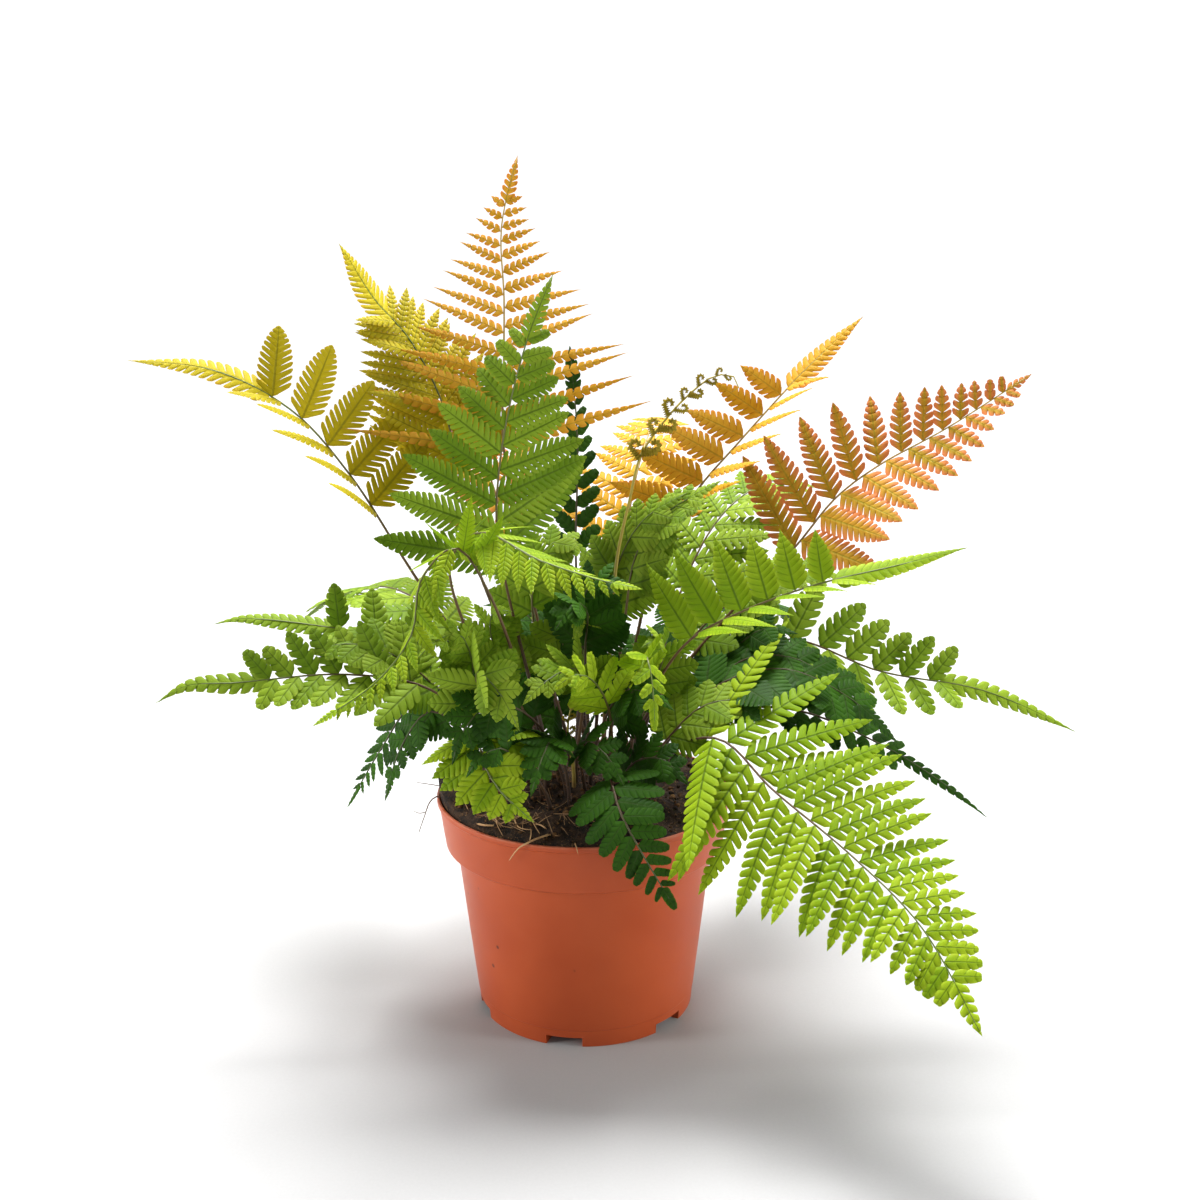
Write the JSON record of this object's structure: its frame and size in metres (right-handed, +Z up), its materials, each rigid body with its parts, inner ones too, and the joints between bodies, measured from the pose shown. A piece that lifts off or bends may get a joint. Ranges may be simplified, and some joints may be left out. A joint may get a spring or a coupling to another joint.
{
  "type": "potted autumn fern",
  "caption": "Young autumn fern with copper, olive and green arching fronds, growing in soil in a plain round plastic nursery pot.",
  "frame": {"origin": "the floor under the middle of the pot, on the underside of its flat base", "axes": "+Z up, -Y towards the front seen in the picture, +X to its right"},
  "size_m": [0.369, 0.298, 0.343],
  "materials": {
    "pot_plastic": "moulded terracotta-coloured plastic, satin",
    "potting_soil": "moist dark peat with fine roots and bark",
    "copper_leaf": "young copper frond, satin",
    "orange_leaf": "young orange frond, satin",
    "olive_leaf": "olive-gold frond, satin",
    "fresh_green_leaf": "light fresh green frond, satin",
    "mid_green_leaf": "mid green frond, satin",
    "deep_green_leaf": "deep green frond, satin",
    "crozier_scale": "scaly unrolling frond, matt"
  },
  "bodies": {
    "root": {"pot": "pot_plastic", "soil": "potting_soil", "frond_broad_front_right": "fresh_green_leaf", "frond_tall_green": "mid_green_leaf", "frond_tall_orange": "orange_leaf", "frond_right_salmon": "copper_leaf", "frond_right_light_green": "fresh_green_leaf", "frond_right_orange": "orange_leaf", "frond_upper_left_olive": "olive_leaf", "frond_far_left_gold": "olive_leaf", "frond_arching_front": "fresh_green_leaf", "frond_drooping_front_left": "fresh_green_leaf", "frond_far_right_green": "mid_green_leaf", "frond_left_green": "mid_green_leaf", "frond_low_left_green": "mid_green_leaf", "frond_fresh_front": "fresh_green_leaf", "frond_over_front_rim": "deep_green_leaf", "frond_hanging_left": "deep_green_leaf", "frond_centre_dark": "deep_green_leaf", "frond_centre_light": "fresh_green_leaf", "frond_back_dark": "deep_green_leaf", "frond_back_right_green": "mid_green_leaf", "frond_right_dark": "deep_green_leaf", "frond_centre_mid": "mid_green_leaf", "frond_centre_right": "fresh_green_leaf", "frond_low_front": "deep_green_leaf", "frond_low_left": "deep_green_leaf", "frond_inner_dark": "deep_green_leaf", "frond_inner_olive": "mid_green_leaf", "frond_inner_right": "mid_green_leaf", "frond_low_right_dark": "deep_green_leaf", "frond_left_cluster": "mid_green_leaf", "frond_low_right": "mid_green_leaf", "frond_behind_right": "deep_green_leaf", "frond_upper_right_inner": "mid_green_leaf", "frond_back_left_copper": "copper_leaf", "frond_back_orange": "orange_leaf", "frond_back_left_green": "mid_green_leaf", "frond_back_green": "mid_green_leaf", "frond_back_right_deep": "deep_green_leaf", "frond_middle_low": "deep_green_leaf", "frond_low_middle": "deep_green_leaf", "frond_inner_low_right": "deep_green_leaf", "frond_gap_left": "mid_green_leaf", "frond_gap_middle": "mid_green_leaf", "frond_gap_right": "mid_green_leaf", "frond_gap_back": "deep_green_leaf", "frond_gap_back_right": "deep_green_leaf", "frond_lower_left": "mid_green_leaf", "frond_lower_middle": "mid_green_leaf", "frond_soil_left": "deep_green_leaf", "frond_right_inner": "deep_green_leaf", "frond_inner_left": "mid_green_leaf", "frond_upper_middle": "mid_green_leaf", "frond_centre_back": "deep_green_leaf", "crozier_tall": "crozier_scale", "crozier_low": "crozier_scale"}
  },
  "joints": []
}
